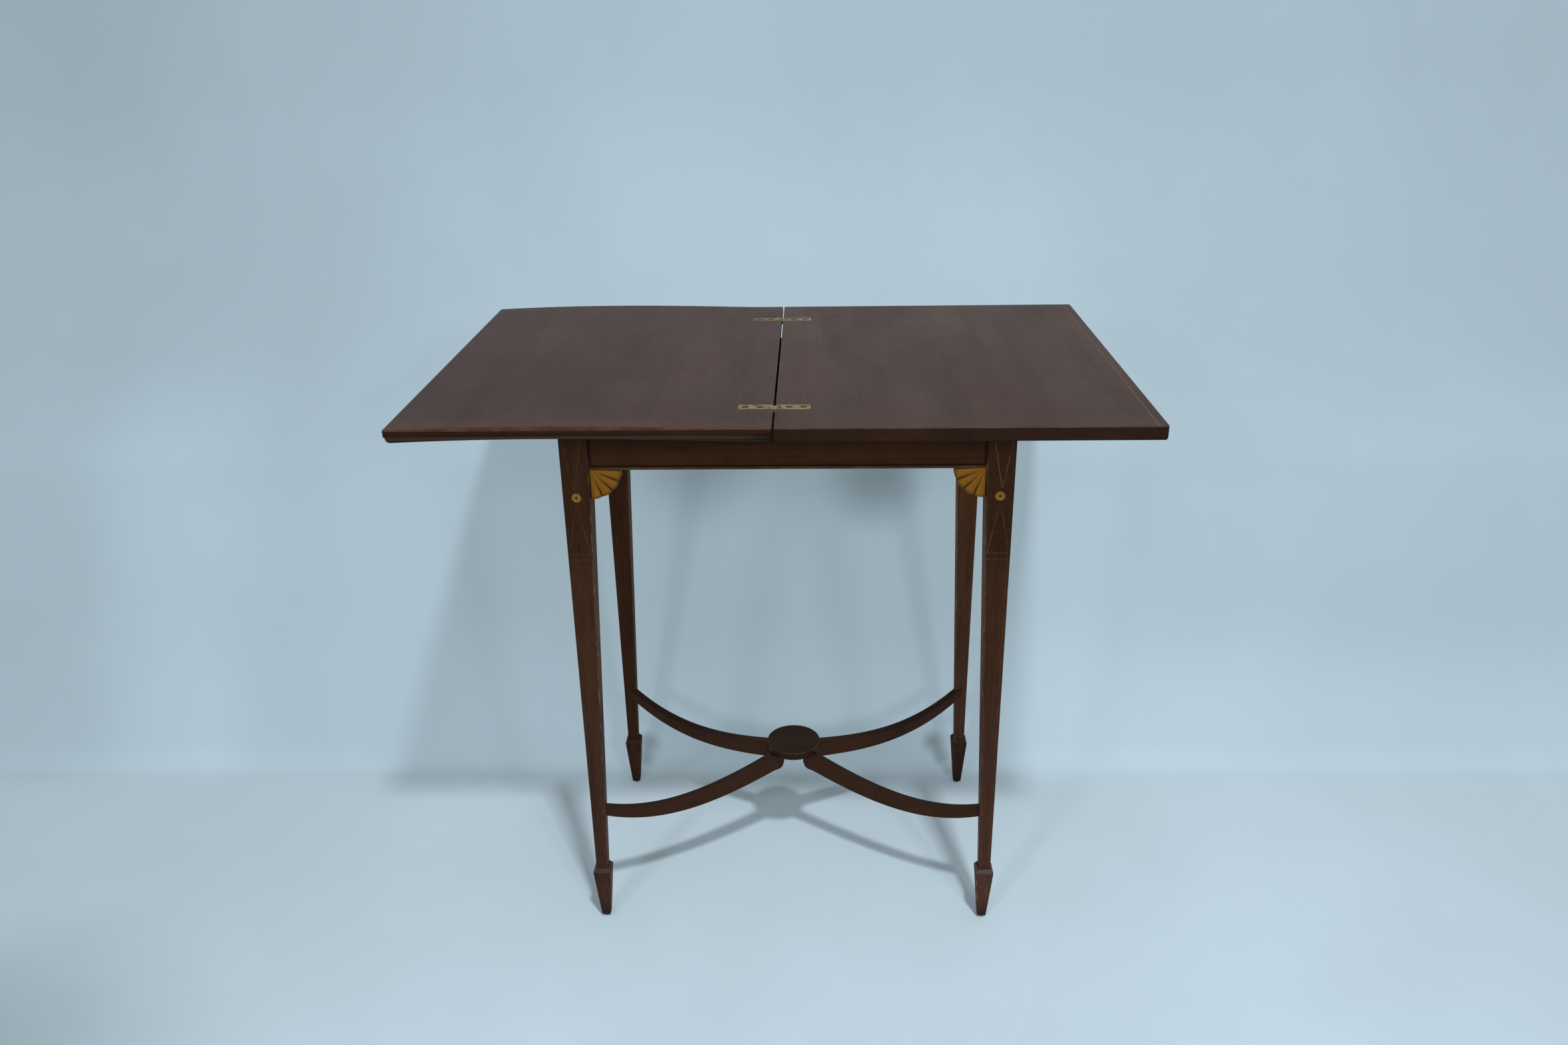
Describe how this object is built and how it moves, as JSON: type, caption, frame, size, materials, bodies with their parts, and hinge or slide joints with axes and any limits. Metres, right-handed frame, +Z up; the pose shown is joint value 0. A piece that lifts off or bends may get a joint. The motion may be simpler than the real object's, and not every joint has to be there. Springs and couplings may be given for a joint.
{
  "type": "games table",
  "caption": "Fold-over games table with a swivel top on flush brass counter-flap hinges, tapered spade-foot legs, fan brackets and curved stretcher arms under a round disc.",
  "frame": {"origin": "on the floor under the middle of the open top, where the two leaves meet", "axes": "+Z up, -Y to the front, where the two fan brackets are, and +X to the right, towards the lower leaf"},
  "size_m": [0.8256, 0.546, 0.7438],
  "materials": {
    "frame_mahogany": "dark stained and polished mahogany",
    "top_mahogany": "faded, hazy polished mahogany with fine figure",
    "inner_pine": "bare softwood",
    "satinwood": "golden satinwood, sand-shaded at the joints of the petals",
    "boxwood": "pale boxwood inlay under old polish",
    "brass": "dull, worn brass",
    "steel": "dull grey steel"
  },
  "bodies": {
    "base": {"leg_front_left": "frame_mahogany", "leg_front_right": "frame_mahogany", "leg_back_left": "frame_mahogany", "leg_back_right": "frame_mahogany", "glide_front_left": "steel", "glide_front_right": "steel", "glide_back_left": "steel", "glide_back_right": "steel", "rail_front": "frame_mahogany", "rail_back": "frame_mahogany", "rail_left": "frame_mahogany", "rail_right": "frame_mahogany", "bead_front": "frame_mahogany", "bead_back": "frame_mahogany", "bead_left": "frame_mahogany", "bead_right": "frame_mahogany", "fan_bracket_left": "satinwood", "fan_bracket_right": "satinwood", "roundel_left": "boxwood", "roundel_right": "boxwood", "stretcher_arm_front_left": "frame_mahogany", "stretcher_arm_front_right": "frame_mahogany", "stretcher_arm_back_left": "frame_mahogany", "stretcher_arm_back_right": "frame_mahogany", "stretcher_screw_front_left": "steel", "stretcher_screw_front_right": "steel", "stretcher_screw_back_left": "steel", "stretcher_screw_back_right": "steel", "stretcher_disc": "frame_mahogany", "pivot_bearer": "inner_pine", "well_partition": "inner_pine", "well_floor": "inner_pine", "pivot_washer": "steel"},
    "lower_leaf": {"lower_leaf": "top_mahogany", "pivot_plate": "steel", "pivot_bolt": "steel", "pivot_nut": "steel", "stop_peg": "frame_mahogany", "hinge_front_lower_plate": "brass", "hinge_front_lower_pin": "brass", "hinge_front_lower_near_screw": "brass", "hinge_front_lower_far_screw": "brass", "hinge_back_lower_plate": "brass", "hinge_back_lower_pin": "brass", "hinge_back_lower_near_screw": "brass", "hinge_back_lower_far_screw": "brass"},
    "hinge_links": {"hinge_front_link": "brass", "hinge_back_link": "brass"},
    "flap": {"flap": "top_mahogany", "hinge_front_flap_plate": "brass", "hinge_front_flap_pin": "brass", "hinge_front_flap_near_screw": "brass", "hinge_front_flap_far_screw": "brass", "hinge_back_flap_plate": "brass", "hinge_back_flap_pin": "brass", "hinge_back_flap_near_screw": "brass", "hinge_back_flap_far_screw": "brass"}
  },
  "joints": [
    {"name": "top_swivel", "type": "hinge", "parent": "base", "child": "lower_leaf", "pos_m": [0.10945, 0.09745, 0.7238], "axis": [0, 0, 1], "range_deg": [-90, 0]},
    {"name": "link_pivot", "type": "hinge", "parent": "lower_leaf", "child": "hinge_links", "pos_m": [0.0032, 0, 0.73695], "axis": [0, 1, 0], "range_deg": [0, 89.5]},
    {"name": "flap_pivot", "type": "hinge", "parent": "hinge_links", "child": "flap", "pos_m": [-0.0032, 0, 0.73695], "axis": [0, 1, 0], "range_deg": [0, 89.5]}
  ]
}
